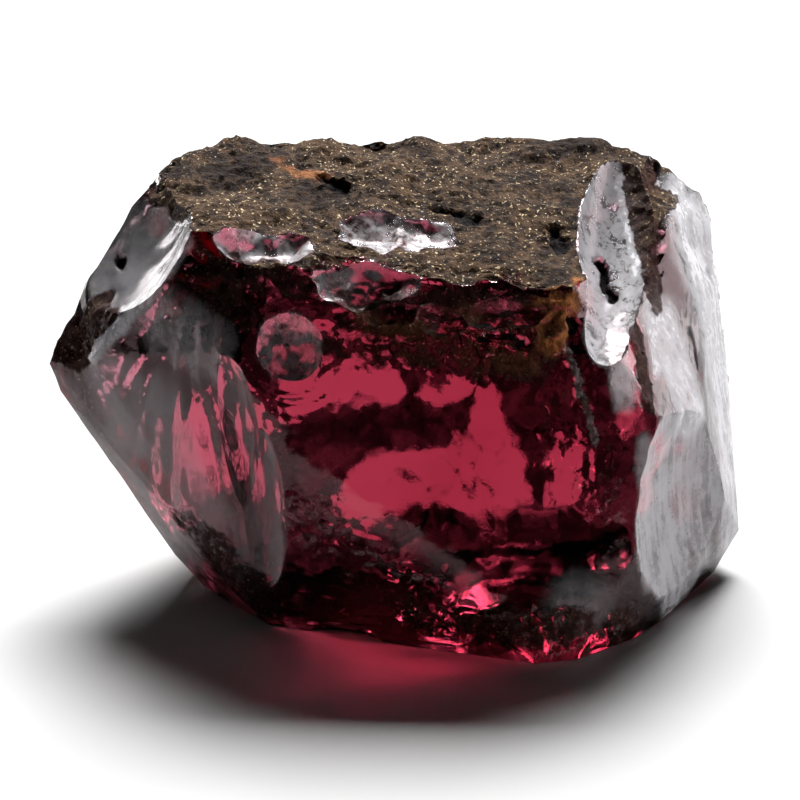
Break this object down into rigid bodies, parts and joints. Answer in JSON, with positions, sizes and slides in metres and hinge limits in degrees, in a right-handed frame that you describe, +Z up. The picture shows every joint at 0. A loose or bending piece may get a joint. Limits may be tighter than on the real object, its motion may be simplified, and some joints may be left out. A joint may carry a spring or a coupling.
{
  "type": "garnet crystal",
  "caption": "Rough see-through red garnet fragment with a granular weathered top, glassy conchoidal break faces and a flat resting base.",
  "frame": {"origin": "on the flat base, under the middle of the stone's bounding box", "axes": "+Z up, +X along the stone's length towards its blunt right end, -Y towards the large broken front face"},
  "size_m": [0.0162, 0.0098, 0.0097],
  "materials": {
    "garnet": "deep red see-through mineral with glassy breaks and a matte brown weathered skin on top"
  },
  "bodies": {
    "root": {"garnet_crystal": "garnet"}
  },
  "joints": []
}
